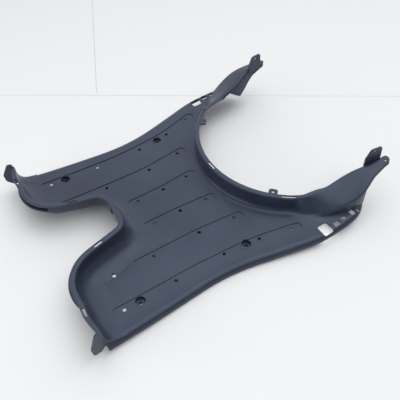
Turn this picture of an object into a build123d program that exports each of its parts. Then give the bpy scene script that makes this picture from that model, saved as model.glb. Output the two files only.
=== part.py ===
import os
from math import cos, radians, sin, sqrt, tan

from build123d import *

os.makedirs("parts", exist_ok=True)

# Scooter floorboard, one injection moulding. X is the rider's right, Y is
# forward and Z is up. The origin is in the middle of the four frame bolts,
# on the plane where their collars sit on the frame.

# sheet thicknesses of the moulding
floor_wall = 3.0
strip_wall = 2.4

# the floor is dished lengthwise, lowest a little ahead of the middle
floor_low = 12.0
dish_r = 2400.0
dish_y = 10.0

# outline of the floor: waisted sides, then the front mounting ears
rear_end_y = -166.0
rear_half = 194.1
waist_half = 176.6
waist_y = 45.2
waist_r = 340.0
front_half = 211.5
front_side_y = 193.0
ear_half = 213.5
ear_y = 244.0
ear_shoulder_half = 209.5
ear_shoulder_y = 277.0
ear_tip_half = 197.0
ear_tip_y = 299.0

# rolled side edge
edge_r = 9.0
skirt_drop = 10.5
side_steps = 16

# rear wall round the seat notch and the two lobes
notch_y = -55.0
notch_half = 41.4
lobe_half = 72.0
lobe_y = -169.0
lobe_end = 192.0
rear_wall_end = 189.0
notch_r = 28.0
lobe_r = 55.0
rear_rim_z = 55.0
rear_foot_r = 26.0
rear_rim_w = 8.5

# rounded wing at each end of the rear wall
wing_turn = radians(65)
wing_reach = 20.5
wing_top = 60.5

# front wall round the steering arch
arch_y = 293.6
arch_r = 172.0
arch_half_angle = 54.0
arch_steps = 8
arm_steps = 14
front_rim_z = 49.0
front_foot_r = 8.0
front_rim_w = 8.0
rim_corner_r = 3.0

# how far a foot runs into the floor, and its rise, so the two sheets blend
foot_run = 8.0
foot_rise = 9.0
foot_sink = 0.9
side_raise = 1.6

# grip strip channels with their clip holes
channel_w = 18.0
channel_depth = 1.2
channel_bend_r = 400.0
clip_d = 6.0
clip_clear = 1.0

# frame bolts
bolt_half_x = 150.0
bolt_half_y = 95.0
bolt_d = 6.5
recess_d = 16.0
recess_z = 7.0
recess_floor = 3.0
collar_d = 21.5
collar_pocket_d = 15.5
sleeve_d = 11.5

# slots in the rims, as length and width
rear_slot = (15.0, 4.2)
front_slot_mid = (20.0, 3.4)
front_slot_side = (24.0, 3.4)
front_slot_angle = 52.0

# screw tabs on the front rim
tab_angle = 43.0
tab_reach = 16.5
tab_w = 15.0
tab_hole_d = 5.0
tab_hole_in = 2.0

# upright screw bracket near the tip of each arm
bracket_w = 2.6
bracket_top = 104.4
bracket_hole_d = 5.0
tongue_hole_d = 4.0


# height of the top of the floor at a place along the board
def floor_z(y):
    return floor_low + dish_r - sqrt(dish_r**2 - (y - dish_y) ** 2)


# upright plane through a plan point, with its X pointing along the heading
def upright(x, y, heading_x, heading_y):
    return Plane(
        origin=(x, y, 0), x_dir=(heading_x, heading_y, 0), z_dir=(heading_y, -heading_x, 0)
    )


# section of a bent sheet: the show side goes through the points, the other
# side lies one thickness to the left, and both follow the bend radii
def sheet_section(plane, points, radii):
    lower = []
    lower_radii = []
    for i, (px, py) in enumerate(points):
        ahead = points[min(i + 1, len(points) - 1)]
        behind = points[max(i - 1, 0)]
        first = Vector(px - behind[0], py - behind[1])
        second = Vector(ahead[0] - px, ahead[1] - py)
        first = (first if first.length > 0 else second).normalized()
        second = (second if second.length > 0 else first).normalized()
        turn = first.X * second.Y - first.Y * second.X
        mitre = (Vector(-first.Y, first.X) + Vector(-second.Y, second.X)).normalized()
        reach = strip_wall / (mitre.X * -first.Y + mitre.Y * first.X)
        lower.append((px + mitre.X * reach, py + mitre.Y * reach))
        if 0 < i < len(points) - 1:
            lower_radii.append(max(radii[i - 1] + (-strip_wall if turn > 0 else strip_wall), 0.4))
    with BuildSketch(plane) as section:
        with BuildLine():
            FilletPolyline(
                *points,
                *reversed(lower),
                radius=[0, *radii, 0, 0, *reversed(lower_radii), 0],
                close=True,
            )
        make_face()
    return section.sketch


# slab between two depths below the top of the floor, over the whole board
def floor_band(upper, lower):
    with BuildPart() as band:
        with BuildSketch(Plane.YZ):
            with Locations((dish_y, floor_low + dish_r)):
                Circle(dish_r + lower)
                Circle(dish_r + upper, mode=Mode.SUBTRACT)
            with Locations((dish_y, floor_low)):
                Rectangle(800, 200, mode=Mode.INTERSECT)
        extrude(amount=300, both=True)
    return band.part


# the three lines the upturned or rolled edges follow in plan
with BuildLine() as rear_wire:
    FilletPolyline(
        (-lobe_end, lobe_y),
        (-lobe_half, lobe_y),
        (-notch_half, notch_y),
        (notch_half, notch_y),
        (lobe_half, lobe_y),
        (lobe_end, lobe_y),
        radius=[lobe_r, notch_r, notch_r, lobe_r],
    )
rear_path = rear_wire.wire()

with BuildLine() as side_wire:
    FilletPolyline(
        (rear_half, rear_end_y),
        (waist_half, waist_y),
        (front_half, front_side_y),
        (ear_half, ear_y),
        (ear_shoulder_half, ear_shoulder_y),
        (ear_tip_half, ear_tip_y),
        (ear_tip_half - 13, ear_tip_y + 9),
        radius=[waist_r, 120, 60, 40, 24],
    )
side_path = side_wire.wire()

foot_line = rear_path.offset_2d(rear_foot_r - 1, side=Side.LEFT, closed=False)

# grip strip channels, sunk into the floor along three lines on each side
channel_lines = [
    [(151, -131), (147, 5), (153, 110), (171, 180)],
    [(89.5, -117), (88, 40), (96, 117)],
    [(29.5, -17), (29.7, 42), (34.5, 101)],
]
with BuildPart() as channels:
    with BuildSketch() as strips:
        for line in channel_lines:
            with BuildLine() as middle:
                FilletPolyline(*line, radius=channel_bend_r)
            trace(middle.wire(), line_width=channel_w)
            with Locations(line[0], line[-1]):
                Circle(channel_w / 2)
        mirror(about=Plane.YZ)
    extrude(amount=60)
    add(floor_band(-3, channel_depth), mode=Mode.INTERSECT)

# clip holes of the grip strips on the right half
clip_places = [
    (150.8, -121.6),
    (147.5, -32.9),
    (146.4, 54.9),
    (153.6, 118.0),
    (168.4, 170.9),
    (89.0, -109.0),
    (89.0, -40.6),
    (87.7, 45.0),
    (94.7, 108.9),
    (29.4, -7.7),
    (29.7, 42.6),
    (33.2, 91.9),
]

# windows of the front ears, cut through the floor and the rolled side
with BuildPart() as ear_windows:
    with BuildSketch(Plane.XY.offset(5)):
        with Locations((200, 214.6)):
            RectangleRounded(20.8, 19, 4)
        with Locations((202.5, 235.5)):
            RectangleRounded(10, 12, 2)
        with Locations(Location((200.5, 251.6), 78)):
            SlotOverall(10, 7)
        with Locations((200.2, 269.7)):
            RectangleRounded(9.5, 9, 2)
        with Locations((202.5, 281)):
            Circle(2.2)
    extrude(amount=40)

# the floor stops at the riser of each arm
under_arm = [
    (140, 214),
    (171, 217),
    (182.5, 231),
    (187.3, 246),
    (193, 264),
    (196.3, 280),
    (193.3, 300),
    (190, 330),
    (110, 330),
]

# floor sheet, reaching under the feet of the walls and the rolled sides
with BuildPart() as floor_sheet:
    with BuildSketch():
        with BuildLine():
            add(side_path)
            Polyline(side_path @ 1, (0, ear_tip_y + 9))
            Polyline(side_path @ 0, (rear_half, rear_end_y - 60), (0, rear_end_y - 60))
            mirror(about=Plane.YZ)
        make_face()
        offset(amount=-(edge_r + 0.5))
        with Locations((0, arch_y)):
            Circle(arch_r + front_foot_r + 1, mode=Mode.SUBTRACT)
        with BuildLine():
            add(foot_line)
            Polyline(
                (lobe_end, lobe_y + rear_foot_r - 1),
                (lobe_end + 60, lobe_y + rear_foot_r - 1),
                (lobe_end + 60, lobe_y - 90),
                (-lobe_end - 60, lobe_y - 90),
                (-lobe_end - 60, lobe_y + rear_foot_r - 1),
                (-lobe_end, lobe_y + rear_foot_r - 1),
            )
        make_face(mode=Mode.SUBTRACT)
        with BuildLine():
            Polyline(*under_arm, close=True)
        right = make_face(mode=Mode.SUBTRACT)
        mirror(right, about=Plane.YZ, mode=Mode.SUBTRACT)
        with Locations(clip_places):
            Circle(clip_d / 2, mode=Mode.SUBTRACT)
        with Locations([(-x, y) for x, y in clip_places]):
            Circle(clip_d / 2, mode=Mode.SUBTRACT)
        with GridLocations(2 * bolt_half_x, 2 * bolt_half_y, 2, 2):
            Circle(recess_d / 2, mode=Mode.SUBTRACT)
    extrude(amount=80)
    add(floor_band(0, floor_wall), mode=Mode.INTERSECT)
    add(channels.part, mode=Mode.SUBTRACT)
    add(ear_windows.part, mode=Mode.SUBTRACT)
    mirror(ear_windows.part, about=Plane.YZ, mode=Mode.SUBTRACT)

# rolled side from the rear corner to the tip of the front ear
with BuildPart() as side_edge:
    sections = []
    for k in range(side_steps + 1):
        place = side_path @ (k / side_steps)
        heading = side_path % (k / side_steps)
        top = floor_z(place.Y)
        run = edge_r + (9 if place.Y < 230 else 4)
        sections.append(
            sheet_section(
                upright(place.X, place.Y, heading.Y, -heading.X),
                [(0, top - skirt_drop), (0, top + side_raise), (-run, top - foot_sink)],
                [edge_r],
            )
        )
    loft(sections)
    add(ear_windows.part, mode=Mode.SUBTRACT)


# rear wall: foot, wall and rim swept round the lobes and the seat notch
def rear_stations():
    for edge in rear_path.edges():
        steps = 4 if edge.geom_type == GeomType.CIRCLE else 3
        for k in range(steps):
            yield edge @ (k / steps), edge % (k / steps)
    yield rear_path @ 1, rear_path % 1


with BuildPart() as rear_wall:
    sections = []
    for place, heading in rear_stations():
        run = rear_foot_r + foot_run
        rim = rear_rim_w - max(abs(place.X) - 160, 0) * 0.11
        sections.append(
            sheet_section(
                upright(place.X, place.Y, -heading.Y, heading.X),
                [
                    (run, floor_z(place.Y + heading.X * run) - foot_sink),
                    (0, floor_z(place.Y) - foot_sink + run * tan(radians(foot_rise))),
                    (0, rear_rim_z),
                    (-rim, rear_rim_z),
                ],
                [rear_foot_r, rim_corner_r],
            )
        )
    loft(sections)
    Box(2 * rear_wall_end, 600, 300, mode=Mode.INTERSECT)
    with BuildSketch(Plane.XY.offset(rear_rim_z - 6)):
        with Locations(Location((51.6, -110.9), -75)):
            SlotOverall(*rear_slot)
        with Locations((148.5, lobe_y - 4.3)):
            SlotOverall(*rear_slot)
        mirror(about=Plane.YZ)
    extrude(amount=12, mode=Mode.SUBTRACT)
    with BuildSketch():  # the foot stays clear of the clip holes
        with Locations(clip_places):
            Circle(clip_d / 2 + clip_clear)
        mirror(about=Plane.YZ)
    extrude(amount=rear_rim_z - 10, mode=Mode.SUBTRACT)

# arm stations: place along the board, then the foot of the riser, outer edge,
# fold and inner flange as (x, z), with the radii of the outer edge and the fold
arm_stations = [
    (216, (178.0, 20.3), (166.0, 23.5), (147.5, 48.8), (141.4, 48.3), 8.0, 3.5),
    (246, (188.5, 21.6), (187.0, 36.5), (152.0, 53.0), (144.8, 47.0), 5.0, 5.0),
    (280, (197.5, 25.2), (197.0, 51.0), (153.0, 64.5), (147.0, 34.0), 4.0, 7.0),
    (300, (194.5, 26.8), (194.8, 62.8), (157.0, 73.0), (152.5, 38.0), 3.5, 7.5),
    (320, (188.2, 40.0), (188.0, 71.7), (162.5, 78.5), (159.5, 48.0), 3.0, 7.0),
    (362, (180.3, 59.0), (180.0, 76.8), (165.5, 80.0), (165.0, 62.0), 2.5, 4.0),
]

# lower edges of the inner flange and the outer lip of an arm, as (y, z)
flange_rear = [(238, 10), (238, 44), (266, 51), (291, 34), (296, 10)]
flange_front = [(291, 10), (291, 34), (307, 44), (329, 61.5), (348, 68.5), (372, 77), (372, 10)]
lip_edge = [(299, 10), (299, 55), (320, 66.5), (345, 71.5), (372, 72.5), (372, 10)]

# material to take off a right arm: below its free edges and round its tip
with BuildPart() as arm_trim:
    for outline, inner_x, outer_x in [
        (flange_rear, 130, 158),
        (flange_front, 130, 172),
        (lip_edge, 172, 216),
    ]:
        with BuildSketch(Plane.YZ.offset(inner_x)):
            with BuildLine():
                Polyline(*outline, close=True)
            make_face()
        extrude(amount=outer_x - inner_x)
    with BuildSketch(Plane.XY.offset(50)):
        with Locations((173, 364)):
            Rectangle(40, 16)
        with Locations((173, 354.6)):
            Circle(7.4, mode=Mode.SUBTRACT)
    extrude(amount=50)
    with Locations((174.5, 354, 75)):
        Cylinder(tongue_hole_d / 2, 40)


# smooth curve through the arm stations, read at any place along the board
def arm_row(y):
    rows = [(row[0], *row[1], *row[2], *row[3], *row[4], *row[5:]) for row in arm_stations]
    last = len(rows) - 1
    k = max(i for i in range(last) if rows[i][0] <= y)
    gap = rows[k + 1][0] - rows[k][0]
    t = (y - rows[k][0]) / gap
    values = []
    for c in range(1, len(rows[0])):
        slopes = []
        for i in (k, k + 1):
            before, after = rows[max(i - 1, 0)], rows[min(i + 1, last)]
            slopes.append((after[c] - before[c]) / (after[0] - before[0]) * gap)
        values.append(
            rows[k][c] * (2 * t**3 - 3 * t**2 + 1)
            + slopes[0] * (t**3 - 2 * t**2 + t)
            + rows[k + 1][c] * (3 * t**2 - 2 * t**3)
            + slopes[1] * (t**3 - t**2)
        )
    return list(zip(values[0:8:2], values[1:8:2])), values[8:]


# front wall round the steering arch, running out into the two arms
with BuildPart() as front_wall:
    arms = {-1: [], 1: []}
    for hand in arms:
        for k in range(arm_steps + 1):
            y = arm_stations[0][0] + (arm_stations[-1][0] - arm_stations[0][0]) * k / arm_steps
            points, radii = arm_row(y)
            arms[hand].append(sheet_section(upright(0, y, hand, 0), points, radii))
    # where the arch runs out into an arm
    turns = {}
    for hand in arms:
        turns[hand] = sheet_section(
            upright(hand * 143.6, 204, hand * cos(radians(18)), -sin(radians(18))),
            [(23, 18.5), (9, 20.9), (0, 48.9), (-6.4, 48.6)],
            [8.0, 3.2],
        )
    arch = []
    for k in range(-arch_steps, arch_steps + 1):
        turn = radians(arch_half_angle) * k / arch_steps
        run = front_foot_r + foot_run
        foot_y = arch_y - (arch_r + run) * cos(turn)
        wall_y = arch_y - arch_r * cos(turn)
        arch.append(
            sheet_section(
                upright(arch_r * sin(turn), wall_y, sin(turn), -cos(turn)),
                [
                    (run, floor_z(foot_y) - foot_sink),
                    (0, floor_z(wall_y) - foot_sink + run * tan(radians(foot_rise))),
                    (0, front_rim_z),
                    (-front_rim_w, front_rim_z),
                ],
                [front_foot_r, rim_corner_r],
            )
        )
    loft([*reversed(arms[-1]), turns[-1], *arch, turns[1], *arms[1]])
    add(arm_trim.part, mode=Mode.SUBTRACT)
    mirror(arm_trim.part, about=Plane.YZ, mode=Mode.SUBTRACT)
    with BuildSketch(Plane.XY.offset(front_rim_z - 6)):
        slot_r = arch_r - 4.6
        with Locations((0, arch_y - slot_r)):
            SlotOverall(*front_slot_mid)
        turn = radians(front_slot_angle)
        with Locations(Location((slot_r * sin(turn), arch_y - slot_r * cos(turn)), front_slot_angle)):
            SlotOverall(*front_slot_side)
        mirror(about=Plane.YZ)
    extrude(amount=12, mode=Mode.SUBTRACT)


# small fittings of the right half: bracket, front tab, rear lip, notch tab
lobe_centre = rear_path.edges().filter_by(GeomType.CIRCLE).sort_by(Axis.X)[-1].arc_center
with BuildPart() as fittings:
    with BuildSketch(upright(161.8, 319, 0.122, 0.9925)):
        with BuildLine():
            FilletPolyline(
                (0, 72),
                (0, 88),
                (8, bracket_top),
                (29, bracket_top),
                (31, 74),
                radius=[0, 6, 5, 5, 0],
                close=True,
            )
        make_face()
        with Locations((16.5, bracket_top - 6.4)):
            Circle(bracket_hole_d / 2, mode=Mode.SUBTRACT)
    extrude(amount=bracket_w / 2, both=True)
    with BuildSketch(Plane.XY.offset(front_rim_z - strip_wall - 0.2)):
        reach = arch_r - 2 - tab_reach / 2
        turn = radians(tab_angle)
        with Locations(Location((reach * sin(turn), arch_y - reach * cos(turn)), tab_angle - 90)):
            RectangleRounded(tab_reach, tab_w, 4)
            with Locations((-tab_hole_in, 0)):
                Circle(tab_hole_d / 2, mode=Mode.SUBTRACT)
    extrude(amount=strip_wall)
    with BuildSketch(Plane.XY.offset(rear_rim_z - 8.6)):
        with Locations(lobe_centre):
            Circle(lobe_r + 11.5)
            Circle(lobe_r + 1.2, mode=Mode.SUBTRACT)
        with BuildLine():
            Polyline(
                (lobe_centre.X, lobe_centre.Y),
                (lobe_centre.X - 80, lobe_centre.Y - 58),
                (lobe_centre.X - 80, lobe_centre.Y - 90),
                (lobe_centre.X + 21, lobe_centre.Y - 90),
                (lobe_centre.X + 21, lobe_centre.Y),
                close=True,
            )
        make_face(mode=Mode.INTERSECT)
    extrude(amount=strip_wall)
    with BuildSketch(Plane.XY.offset(rear_rim_z - 19)):
        with Locations((17, notch_y - rear_rim_w + 0.8)):
            Rectangle(20, strip_wall)
    extrude(amount=17.6)

# web that closes the end of the rear wall above the rolled side, as (y, z)
web_edge = [
    (-146, 14),
    (-150, 16.9),
    (-157, 20),
    (-162, 24.2),
    (-166, 29.8),
    (-168.6, 38),
    (-170.2, 40),
    (-170.2, 17),
    (-166, 15.5),
]

# rear corner: the web, and a rounded wing bent back from the end of the wall
with BuildPart() as wing:
    with BuildSketch(Plane.YZ.offset(rear_wall_end - 0.2)):
        with BuildLine():
            Polyline(*web_edge, close=True)
        make_face()
    extrude(amount=-strip_wall)
    with BuildSketch(upright(rear_wall_end - 1.2, lobe_y - 0.6, cos(wing_turn), -sin(wing_turn))):
        with BuildLine():
            FilletPolyline(
                (-0.8, 17.5),
                (6, 14),
                (wing_reach - 1, 23),
                (wing_reach, 38),
                (8, wing_top),
                (-0.8, wing_top),
                radius=[0, 6, 7, 12, 6, 0],
                close=True,
            )
        make_face()
    extrude(amount=strip_wall / 2, both=True)

# bolt cups: a recess for the head above, a collar and the bolt's sleeve below
with BuildPart() as cups:
    with BuildSketch():
        with GridLocations(2 * bolt_half_x, 2 * bolt_half_y, 2, 2):
            Circle(collar_d / 2)
    extrude(amount=floor_low + 0.4)
    with BuildSketch(Plane.XY.offset(recess_z)):
        with GridLocations(2 * bolt_half_x, 2 * bolt_half_y, 2, 2):
            Circle(recess_d / 2)
    extrude(amount=20, mode=Mode.SUBTRACT)
    with BuildSketch():
        with GridLocations(2 * bolt_half_x, 2 * bolt_half_y, 2, 2):
            Circle(collar_pocket_d / 2)
            Circle(sleeve_d / 2, mode=Mode.SUBTRACT)
    extrude(amount=recess_z - recess_floor, mode=Mode.SUBTRACT)
    with BuildSketch():
        with GridLocations(2 * bolt_half_x, 2 * bolt_half_y, 2, 2):
            Circle(bolt_d / 2)
    extrude(amount=20, mode=Mode.SUBTRACT)

# the finished moulding
with BuildPart() as board:
    add(floor_sheet.part)
    add(rear_wall.part)
    add(front_wall.part)
    add(side_edge.part)
    mirror(side_edge.part, about=Plane.YZ)
    add(cups.part)
    add([wing.part, wing.part.mirror(Plane.YZ)])
    add([fittings.part, fittings.part.mirror(Plane.YZ)])

board.part.label = "floorboard"
export_step(board.part, "parts/floorboard.step")
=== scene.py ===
import math

import bpy
from mathutils import Matrix, Vector


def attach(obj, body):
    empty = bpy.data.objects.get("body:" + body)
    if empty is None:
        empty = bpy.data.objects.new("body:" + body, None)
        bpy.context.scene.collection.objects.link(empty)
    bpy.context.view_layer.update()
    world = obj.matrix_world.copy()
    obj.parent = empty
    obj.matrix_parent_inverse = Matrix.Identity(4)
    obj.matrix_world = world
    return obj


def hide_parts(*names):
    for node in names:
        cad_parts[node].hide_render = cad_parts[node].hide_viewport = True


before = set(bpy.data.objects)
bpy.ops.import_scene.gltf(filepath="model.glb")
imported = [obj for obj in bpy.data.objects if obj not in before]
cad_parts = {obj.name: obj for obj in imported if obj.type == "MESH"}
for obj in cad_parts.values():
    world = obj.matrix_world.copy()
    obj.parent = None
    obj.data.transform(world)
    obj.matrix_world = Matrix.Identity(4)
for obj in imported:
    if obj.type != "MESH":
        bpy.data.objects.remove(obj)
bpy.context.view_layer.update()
print("stage: frame loaded")


def hexToLinear(code):  # sRGB hex to the linear colour the shaders use
    parts = [int(code[i : i + 2], 16) / 255 for i in (1, 3, 5)]
    return tuple(c / 12.92 if c <= 0.04045 else ((c + 0.055) / 1.055) ** 2.4 for c in parts) + (1.0,)


def addNode(tree, kind, settings=None, values=None, links=None):
    node = tree.nodes.new(kind)
    for name, value in (settings or {}).items():
        setattr(node, name, value)
    for name, value in (values or {}).items():
        node.inputs[name].default_value = value
    for name, socket in (links or {}).items():
        tree.links.new(socket, node.inputs[name])
    return node


# polypropylene, injection moulded in a lightly grained tool: dark slate, a soft
# sheen with no clear reflections, and a faint cloudiness from handling
polypropylene = {
    "base": "#2a3040",
    "handled": "#353c4c",
    "roughness": (0.30, 0.38),
    "ior": 1.49,
    "sheenTint": "#dde9fb",
    "cloudMm": 90.0,
    "cloudDetail": 4.0,
    "cloudRoughness": 0.6,
    "cloudSpread": (0.35, 0.75),  # where the clouds turn from base to handled
    "grainMm": 1.6,  # the real grain is about 0.2 mm, drawn coarser so that it shows
    "grainDetail": 2.0,
    "grainDepthMm": 0.05,
    "grainStrength": 0.35,
}


def makePolypropylene():
    material = bpy.data.materials.new("moulded polypropylene")
    material.use_nodes = True
    tree = material.node_tree
    shader = tree.nodes["Principled BSDF"]
    shader.inputs["IOR"].default_value = polypropylene["ior"]
    shader.inputs["Specular Tint"].default_value = hexToLinear(polypropylene["sheenTint"])
    place = addNode(tree, "ShaderNodeTexCoord").outputs["Object"]
    cloud = addNode(
        tree,
        "ShaderNodeTexNoise",
        values={
            "Scale": 1000 / polypropylene["cloudMm"],
            "Detail": polypropylene["cloudDetail"],
            "Roughness": polypropylene["cloudRoughness"],
        },
        links={"Vector": place},
    ).outputs["Fac"]
    tone = addNode(tree, "ShaderNodeValToRGB", links={"Fac": cloud})
    for stop, position, colour in zip(
        tone.color_ramp.elements, polypropylene["cloudSpread"], ("base", "handled")
    ):
        stop.position = position
        stop.color = hexToLinear(polypropylene[colour])
    tree.links.new(tone.outputs["Color"], shader.inputs["Base Color"])
    sheen = addNode(
        tree,
        "ShaderNodeMapRange",
        values={"To Min": polypropylene["roughness"][0], "To Max": polypropylene["roughness"][1]},
        links={"Value": cloud},
    )
    tree.links.new(sheen.outputs["Result"], shader.inputs["Roughness"])
    grain = addNode(
        tree,
        "ShaderNodeTexNoise",
        values={"Scale": 1000 / polypropylene["grainMm"], "Detail": polypropylene["grainDetail"]},
        links={"Vector": place},
    ).outputs["Fac"]
    bump = addNode(
        tree,
        "ShaderNodeBump",
        values={
            "Strength": polypropylene["grainStrength"],
            "Distance": polypropylene["grainDepthMm"] / 1000,
        },
        links={"Height": grain},
    )
    tree.links.new(bump.outputs["Normal"], shader.inputs["Normal"])
    return material


# the moulding: a merged copy of the CAD solid, smooth except at its real edges
moulding = {"node": "floorboard", "mergeMm": 0.002, "smoothDeg": 32}


def makeMoulding():
    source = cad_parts[moulding["node"]]
    board = bpy.data.objects.new("floorboardMoulding", source.data.copy())
    bpy.context.scene.collection.objects.link(board)
    bpy.ops.object.select_all(action="DESELECT")
    board.select_set(True)
    bpy.context.view_layer.objects.active = board
    bpy.ops.object.mode_set(mode="EDIT")
    bpy.ops.mesh.select_all(action="SELECT")
    bpy.ops.mesh.remove_doubles(threshold=moulding["mergeMm"] / 1000)
    bpy.ops.object.mode_set(mode="OBJECT")
    bpy.ops.mesh.customdata_custom_splitnormals_clear()
    bpy.ops.object.shade_smooth_by_angle(angle=math.radians(moulding["smoothDeg"]))
    board.data.materials.clear()
    board.data.materials.append(makePolypropylene())
    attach(board, "root")
    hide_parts(moulding["node"])
    return board


makeMoulding()
print("stage: moulding dressed")

# white table under the board, of panels whose joints show as two faint lines
table = {
    "sizeM": 8.0,
    "colour": "#e4e4e4",
    "jointColour": "#b9babd",
    "roughness": 0.6,
    "gapMm": 0.3,
    "joints": [  # start, heading and length of each joint, with its width
        {"startM": (-0.783, -0.525), "headingDeg": 54.8, "lengthM": 1.8, "widthMm": 0.9},
        {"startM": (-0.381, 0.066), "headingDeg": 157.8, "lengthM": 0.6, "widthMm": 1.1},
    ],
}


def makeTable():
    bpy.ops.object.select_all(action="DESELECT")
    bpy.ops.mesh.primitive_plane_add(size=table["sizeM"], location=(0, 0, -table["gapMm"] / 1000))
    sheet = bpy.context.active_object
    sheet.name = "tableTop"
    bpy.ops.object.transform_apply(location=True, rotation=True, scale=True)
    material = bpy.data.materials.new("matt laminate")
    material.use_nodes = True
    shader = material.node_tree.nodes["Principled BSDF"]
    shader.inputs["Base Color"].default_value = hexToLinear(table["colour"])
    shader.inputs["Roughness"].default_value = table["roughness"]
    sheet.data.materials.append(material)
    dark = bpy.data.materials.new("panel joint")
    dark.use_nodes = True
    shader = dark.node_tree.nodes["Principled BSDF"]
    shader.inputs["Base Color"].default_value = hexToLinear(table["jointColour"])
    for number, joint in enumerate(table["joints"], 1):
        heading = math.radians(joint["headingDeg"])
        half = joint["lengthM"] / 2
        startX, startY = joint["startM"]
        middle = (startX + half * math.cos(heading), startY + half * math.sin(heading))
        height = -table["gapMm"] / 1000 / 2  # just above the table
        bpy.ops.mesh.primitive_plane_add(size=1, location=(*middle, height), rotation=(0, 0, heading))
        line = bpy.context.active_object
        line.name = "panelJoint" + str(number)
        line.scale = (joint["lengthM"], joint["widthMm"] / 1000, 1)
        bpy.ops.object.transform_apply(location=True, rotation=True, scale=True)
        line.data.materials.append(dark)


makeTable()

# a big soft light overhead, a low one that reaches under the rear, and a room
# that is brightest beyond the board and dim behind the camera
lights = {
    "overhead": {"place": (0.35, 0.5, 2.2), "aim": (0.0, 0.1, 0.0), "sizeM": (2.8, 2.8), "watts": 36.0},
    "rear": {"place": (-0.2, -1.7, 0.45), "aim": (0.0, -0.12, 0.0), "sizeM": (1.8, 0.4), "watts": 13.0},
}
# faint lights under the board, so that some clip holes and one ear window show pale
glows = {
    "heightMm": 6.0,
    "placesMm": [  # x, y, width and strength of each
        (142, -117, 22, 0.0011),
        (80, -104, 22, 0.0011),
        (-160, -117, 22, 0.0011),
        (-157, -28, 20, 0.0009),
        (192, 219, 30, 0.0022),
    ],
}
room = {  # brightness against how near a direction is to the bright side of the room
    "colour": "#eef0f4",
    "brightSide": (-0.66, 0.48, 0.58),
    "steps": [(0.0, 0.22), (0.5, 0.50), (0.8, 0.78), (0.95, 1.0)],
    "strength": 1.35,
}


def makeLights():
    for name, light in lights.items():
        bpy.ops.object.light_add(type="AREA", location=light["place"])
        lamp = bpy.context.active_object
        lamp.name = name + "Light"
        lamp.data.shape = "RECTANGLE"
        lamp.data.size, lamp.data.size_y = light["sizeM"]
        lamp.data.energy = light["watts"]
        aim = Vector(light["aim"]) - Vector(light["place"])
        lamp.rotation_euler = aim.to_track_quat("-Z", "Y").to_euler()
    for number, (x, y, width, watts) in enumerate(glows["placesMm"], 1):
        bpy.ops.object.light_add(type="AREA", location=(x / 1000, y / 1000, glows["heightMm"] / 1000))
        lamp = bpy.context.active_object
        lamp.name = "glow" + str(number)
        lamp.data.size = width / 1000
        lamp.data.energy = watts
    world = bpy.data.worlds.new("room")
    bpy.context.scene.world = world
    world.use_nodes = True
    tree = world.node_tree
    background = tree.nodes["Background"]
    background.inputs["Strength"].default_value = room["strength"]
    direction = addNode(tree, "ShaderNodeTexCoord").outputs["Generated"]
    nearness = addNode(tree, "ShaderNodeVectorMath", {"operation": "DOT_PRODUCT"})
    nearness.inputs[1].default_value = room["brightSide"]
    tree.links.new(direction, nearness.inputs[0])
    sky = addNode(tree, "ShaderNodeValToRGB", links={"Fac": nearness.outputs["Value"]})
    stops = sky.color_ramp.elements
    for number, (position, level) in enumerate(room["steps"]):
        stop = stops[number] if number < len(stops) else stops.new(position)
        stop.position = position
        stop.color = tuple(c * level for c in hexToLinear(room["colour"])[:3]) + (1.0,)
    tree.links.new(sky.outputs["Color"], background.inputs["Color"])


makeLights()
bpy.context.scene.view_settings.view_transform = "Standard"
print("stage: table and lights")

# camera fitted to the photograph, sizes in metres
view = {
    "azimuthDeg": 60.95,
    "elevationDeg": 48.32,
    "rollDeg": -3.58,
    "distance": 0.85049,
    "across": 0.0858,
    "up": 0.01542,
    "floorTop": 0.014,
    "lensMm": 44.81,
    "sensorMm": 36.0,
}


def makeCamera():
    azimuth, elevation, roll = (math.radians(view[k]) for k in ("azimuthDeg", "elevationDeg", "rollDeg"))
    back = Vector(
        (
            math.sin(azimuth) * math.cos(elevation),
            -math.cos(azimuth) * math.cos(elevation),
            math.sin(elevation),
        )
    )
    right = Vector((math.cos(azimuth), math.sin(azimuth), 0))
    up = back.cross(right)
    turnedRight = right * math.cos(roll) + up * math.sin(roll)
    turnedUp = up * math.cos(roll) - right * math.sin(roll)
    place = turnedRight * view["across"] + turnedUp * view["up"] + back * view["distance"]
    place.z += view["floorTop"]
    data = bpy.data.cameras.new("photoCamera")
    data.sensor_width = view["sensorMm"]
    data.lens = view["lensMm"]
    camera = bpy.data.objects.new("photoCamera", data)
    bpy.context.scene.collection.objects.link(camera)
    turn = Matrix((turnedRight, turnedUp, back)).transposed().to_4x4()
    camera.matrix_world = Matrix.Translation(place) @ turn
    bpy.context.scene.camera = camera


makeCamera()
print("stage: camera")
